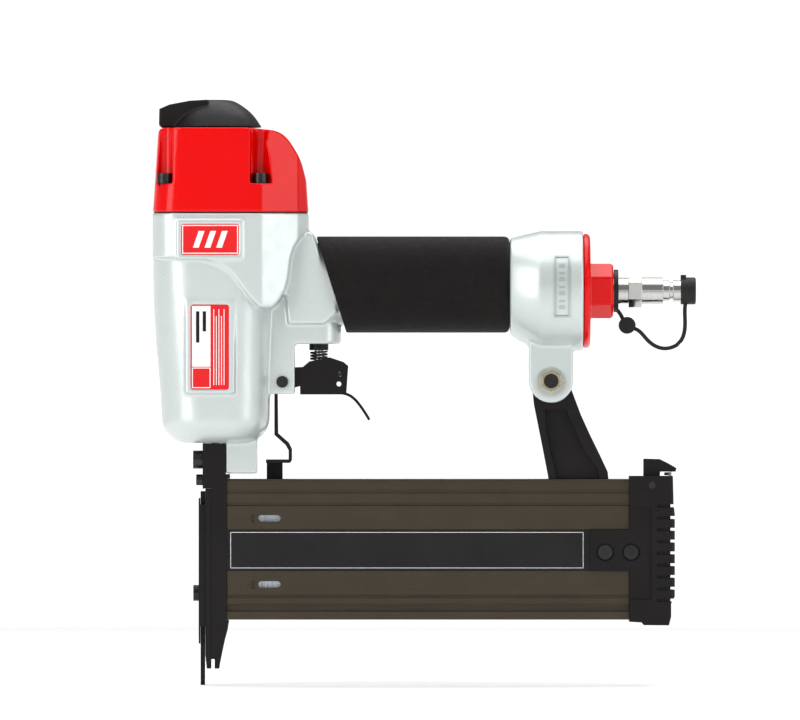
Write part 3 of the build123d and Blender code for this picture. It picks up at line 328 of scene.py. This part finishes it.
def cast(node, voxel, rounds, name):
    """A CAD node remeshed and smoothed, so that every corner gets a casting's radius."""
    piece = add_piece(name, welded(node), SLOT_OF[node], BODY_OF[node], [node])
    remesh = piece.modifiers.new("skin", "REMESH")
    remesh.mode = "VOXEL"
    remesh.voxel_size = voxel * MM
    remesh.use_smooth_shade = True
    soften = piece.modifiers.new("radius", "SMOOTH")
    soften.factor = 0.5
    soften.iterations = rounds
    apply_modifiers(piece)
    for polygon in piece.data.polygons:
        polygon.use_smooth = True


cast("housing", 0.6, 9, "housing_cast")
cast("cylinder_cap", 0.45, 6, "cap_cast")
cast("exhaust_deflector", 0.4, 5, "deflector_moulding")
cast("end_cap", 0.4, 4, "end_cap_cast")
cast("grip_sleeve", 0.6, 8, "grip_foam")

# Bevel radius of each machined or moulded piece, in millimetres
EDGED = {
    "head_badge": 0.15, "side_badge": 0.15, "cap_screws": 0.25, "air_plug": 0.2, "trigger": 0.3,
    "trigger_pin": 0.25, "trigger_lever": 0.15, "trigger_valve_body": 0.2, "nosepiece": 0.4,
    "front_plate": 0.2,
    "nose_screws": 0.3, "guide_screws": 0.2, "front_cover": 0.15, "cover_screw": 0.3, "contact_blade": 0.2,
    "safety_link": 0.2, "safety_arm": 0.15, "safety_guide_pin": 0.2, "fixed_magazine": 0.3,
    "movable_magazine": 0.25, "tail_cover": 0.5, "tail_screws": 0.2, "latch": 0.4, "rear_stay": 0.7,
    "stay_bolt": 0.25, "stay_nut": 0.3, "magazine_screws": 0.2, "dust_cap": 0.2, "tether_strap": 0.2,
    "magazine_label": 0.02,
}
for node, radius in EDGED.items():
    edged(node, radius)


# ---- artwork on the badges, the label and the cup -------------------------------------------
def block(work, low, high):
    """A box between two corners in millimetres."""
    corners = [work.verts.new((x * MM, y * MM, z * MM))
               for x in (low[0], high[0]) for y in (low[1], high[1]) for z in (low[2], high[2])]
    for face in ((0, 1, 3, 2), (4, 6, 7, 5), (0, 4, 5, 1), (2, 3, 7, 6), (0, 2, 6, 4), (1, 5, 7, 3)):
        work.faces.new([corners[index] for index in face])


def slab(work, outline, back, front):
    """A plate whose outline is given in X and Z, between two Y positions in millimetres."""
    rings = [[work.verts.new((x * MM, y * MM, z * MM)) for x, z in outline] for y in (back, front)]
    work.faces.new(rings[0])
    work.faces.new(list(reversed(rings[1])))
    for index in range(len(outline)):
        after = (index + 1) % len(outline)
        work.faces.new((rings[0][after], rings[0][index], rings[1][index], rings[1][after]))


def rim(work, low, high, width, back, front):
    """A rectangular frame in X and Z."""
    (x0, z0), (x1, z1) = low, high
    block(work, (x0, front, z0), (x1, back, z0 + width))
    block(work, (x0, front, z1 - width), (x1, back, z1))
    block(work, (x0, front, z0 + width), (x0 + width, back, z1 - width))
    block(work, (x1 - width, front, z0 + width), (x1, back, z1 - width))


def face_of(node):
    """The corners of a node's box in millimetres."""
    low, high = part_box(node)
    return [value / MM for value in low], [value / MM for value in high]


def printed(name, work, look, body):
    """Artwork as a named piece, with its faces turned outwards."""
    bmesh.ops.recalc_face_normals(work, faces=work.faces)
    return add_piece(name, work, look, body)


def head_artwork():
    """A pale rim and three forward-leaning bars in place of lettering."""
    low, high = face_of("head_badge")
    face = low[1]
    work = bmesh.new()
    rim(work, (low[0] + 0.5, low[2] + 0.5), (high[0] - 0.5, high[2] - 0.5), 0.45, face + SUNK, face - PROUD)
    middle = (low[0] + high[0]) / 2
    foot, top = low[2] + 3.2, high[2] - 3.2
    lean, width = 2.6, 2.6
    for place in (-6.4, -1.2, 4.0):
        left = middle + place - lean / 2
        slab(work, [(left, foot), (left + width, foot), (left + width + lean, top), (left + lean, top)],
             face + SUNK, face - PROUD)
    printed("head_badge_marks", work, "badge_white", BODY_OF["head_badge"])


def side_artwork():
    """A pale column with a red square, and fine rules on the red column."""
    low, high = face_of("side_badge")
    face = low[1]
    split = low[0] + 0.52 * (high[0] - low[0])
    white = bmesh.new()
    block(white, (low[0] + 0.6, face - THIN, low[2] + 10.2), (split, face + SUNK, high[2] - 0.6))
    rim(white, (low[0] + 0.6, low[2] + 0.6), (split, low[2] + 9.8), 0.4, face + SUNK, face - THIN)
    for step in range(5):
        place = split + 1.3 + step * 1.15
        top = high[2] - 2.0 - 3.1 * (step % 2)
        block(white, (place, face - THIN, low[2] + 2.0), (place + 0.35, face + SUNK, top))
    printed("side_badge_marks", white, "badge_white", BODY_OF["side_badge"])
    dark = bmesh.new()
    for step, length in enumerate((14.0, 9.0)):
        place = low[0] + 2.4 + step * 3.0
        block(dark, (place, face - 0.1, high[2] - 3.0 - length), (place + 1.5, face - 0.02, high[2] - 3.0))
    printed("side_badge_bars", dark, "black_plastic", BODY_OF["side_badge"])


def label_artwork():
    """A thin pale border on the magazine label."""
    low, high = face_of("magazine_label")
    face = low[1]
    work = bmesh.new()
    rim(work, (low[0] + 1.2, low[2] + 1.2), (high[0] - 3.0, high[2] - 1.2), 0.22, face + 0.01, face - 0.02)
    printed("label_border", work, "badge_white", BODY_OF["magazine_label"])


def curved_patch(work, axis, sides, turn, rise):
    """A plate wrapped round the cup between two X positions and two angles."""
    buried = -0.6
    steps = max(2, int(abs(turn[1] - turn[0]) / math.radians(3)))
    rows = []
    for index in range(steps + 1):
        angle = turn[0] + (turn[1] - turn[0]) * index / steps
        row = []
        for x, reach in ((sides[0], buried), (sides[0], rise), (sides[1], rise), (sides[1], buried)):
            distance = CUP_RADIUS + reach
            row.append(work.verts.new((x * MM, -distance * math.cos(angle) * MM,
                                       (axis + distance * math.sin(angle)) * MM)))
        rows.append(row)
    for near, far in zip(rows, rows[1:]):
        for side in range(4):
            other = (side + 1) % 4
            work.faces.new((near[side], near[other], far[other], far[side]))
    work.faces.new(rows[0])
    work.faces.new(list(reversed(rows[-1])))


def cup_plate():
    """A raised frame that follows the round of the rear cup, with plain bars inside it."""
    low, high = face_of("end_cap")
    axis = (low[2] + high[2]) / 2
    work = bmesh.new()
    first, last, rise, edge = 153.2, 160.2, 0.6, 0.7
    foot, top = math.radians(-26), math.radians(35)
    turn = edge / CUP_RADIUS
    inner = (first + edge, last - edge)
    curved_patch(work, axis, (first, first + edge), (foot, top), rise)
    curved_patch(work, axis, (last - edge, last), (foot, top), rise)
    curved_patch(work, axis, inner, (foot, foot + turn), rise)
    curved_patch(work, axis, inner, (top - turn, top), rise)
    pitch = (top - foot) / 9
    margin = 2.2
    for step in range(1, 8):
        start = foot + pitch * (step + 0.2)
        length = pitch * (0.3 + 0.25 * (step % 2))
        curved_patch(work, axis, (first + margin, last - margin), (start, start + length), rise / 2)
    printed("cup_plate", work, "plate", BODY_OF["housing"])


# ---- springs as pieces of their own, and a straight stretch of strap -------------------------
def live_spring(node):
    """A compression spring as a smooth-shaded piece of its own, with its own mesh, riding on its body."""
    work = welded(node)
    smooth_faces(work, math.radians(60))
    piece = add_piece(node + "_coil", work, SLOT_OF[node], BODY_OF[node], [node])
    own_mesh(piece)


def strap_fold():
    """The short stretch of strap where the dust cap swings, drawn as a straight strip."""
    start, end = (208.5, 145.4), (210.5, 147.6)
    steps, half, thick = 12, 1.95, 0.8
    slope = math.atan2(end[1] - start[1], end[0] - start[0])
    across = (-math.sin(slope) * thick, math.cos(slope) * thick)
    work = bmesh.new()
    rows = []
    for index in range(steps + 1):
        share = index / steps
        x = start[0] + (end[0] - start[0]) * share
        z = start[1] + (end[1] - start[1]) * share
        rows.append([work.verts.new(((x + side * across[0]) * MM, y * MM, (z + side * across[1]) * MM))
                     for side, y in ((-1, -half), (1, -half), (1, half), (-1, half))])
    for near, far in zip(rows, rows[1:]):
        for side in range(4):
            other = (side + 1) % 4
            work.faces.new((near[side], near[other], far[other], far[side]))
    work.faces.new(rows[0])
    work.faces.new(list(reversed(rows[-1])))
    bmesh.ops.recalc_face_normals(work, faces=work.faces)
    piece = add_piece("strap_fold", work, "rubber", None)
    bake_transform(piece)


live_spring("head_valve_spring")
live_spring("trigger_spring")
live_spring("safety_spring")
live_spring("latch_spring")
strap_fold()
head_artwork()
side_artwork()
label_artwork()
cup_plate()

for node, cad in NODES.items():
    cad.data.materials.clear()
    cad.data.materials.append(LOOKS[SLOT_OF[node]])


# ---- floor and light ------------------------------------------------------------------------
def pale_floor():
    """A round pale floor under the tool, wide enough for a view from any side."""
    work = bmesh.new()
    rim_points = []
    for step in range(FLOOR_SIDES):
        turn = step / FLOOR_SIDES * 2 * math.pi
        rim_points.append(work.verts.new((FLOOR_RADIUS * math.cos(turn), FLOOR_RADIUS * math.sin(turn),
                                          cad_box[0][2])))
    work.faces.new(rim_points)
    mesh = bpy.data.meshes.new("studio_floor")
    work.to_mesh(mesh)
    work.free()
    floor = bpy.data.objects.new("studio_floor", mesh)
    bpy.context.scene.collection.objects.link(floor)
    paper = Paper("studio paper")
    paper.colour((0.92, 0.92, 0.92))
    paper.roughness(paper.spread(paper.noise(30), 0.85, 0.95))
    paper.fixed(emission_color=(1, 1, 1, 1), emission_strength=0.12)
    mesh.materials.append(paper.material)


def soft_light(name, place, aim, size, power):
    """A rectangular softbox that looks at a point."""
    data = bpy.data.lights.new(name, "AREA")
    data.shape = "RECTANGLE"
    data.size, data.size_y = size
    data.energy = power
    lamp = bpy.data.objects.new(name, data)
    lamp.location = place
    lamp.rotation_euler = (Vector(aim) - Vector(place)).to_track_quat("-Z", "Y").to_euler()
    bpy.context.scene.collection.objects.link(lamp)


pale_floor()
MIDDLE = (0.08, 0.0, 0.13)
soft_light("left_softbox", (-0.75, -0.75, 0.45), MIDDLE, (0.45, 1.1), 6.5)
soft_light("right_softbox", (0.95, -0.65, 0.5), MIDDLE, (0.4, 1.0), 3.5)
soft_light("top_softbox", (0.1, -0.1, 1.1), MIDDLE, (1.2, 0.9), 8)
soft_light("floor_light", (0.1, 0.9, 1.5), (0.1, 0.95, 0.0), (2.4, 0.9), 17)


def pale_horizon():
    """A dim sky with a bright band at eye level, which is the backdrop in level views."""
    world = bpy.data.worlds.new("world")
    world.use_nodes = True
    tree = world.node_tree
    direction = tree.nodes.new("ShaderNodeTexCoord").outputs["Generated"]
    parts = tree.nodes.new("ShaderNodeSeparateXYZ")
    tree.links.new(direction, parts.inputs[0])
    height = tree.nodes.new("ShaderNodeMath")
    height.operation = "ABSOLUTE"
    tree.links.new(parts.outputs["Z"], height.inputs[0])
    band = tree.nodes.new("ShaderNodeMapRange")
    band.inputs["From Min"].default_value = 0.05
    band.inputs["From Max"].default_value = 0.12
    band.inputs["To Min"].default_value = 1.1
    band.inputs["To Max"].default_value = 0.3
    tree.links.new(height.outputs[0], band.inputs["Value"])
    background = tree.nodes["Background"]
    background.inputs[0].default_value = (1, 1, 1, 1)
    tree.links.new(band.outputs[0], background.inputs[1])
    return world


world = pale_horizon()
bpy.context.scene.world = world

bpy.context.scene.view_settings.view_transform = "Standard"
bpy.context.view_layer.update()
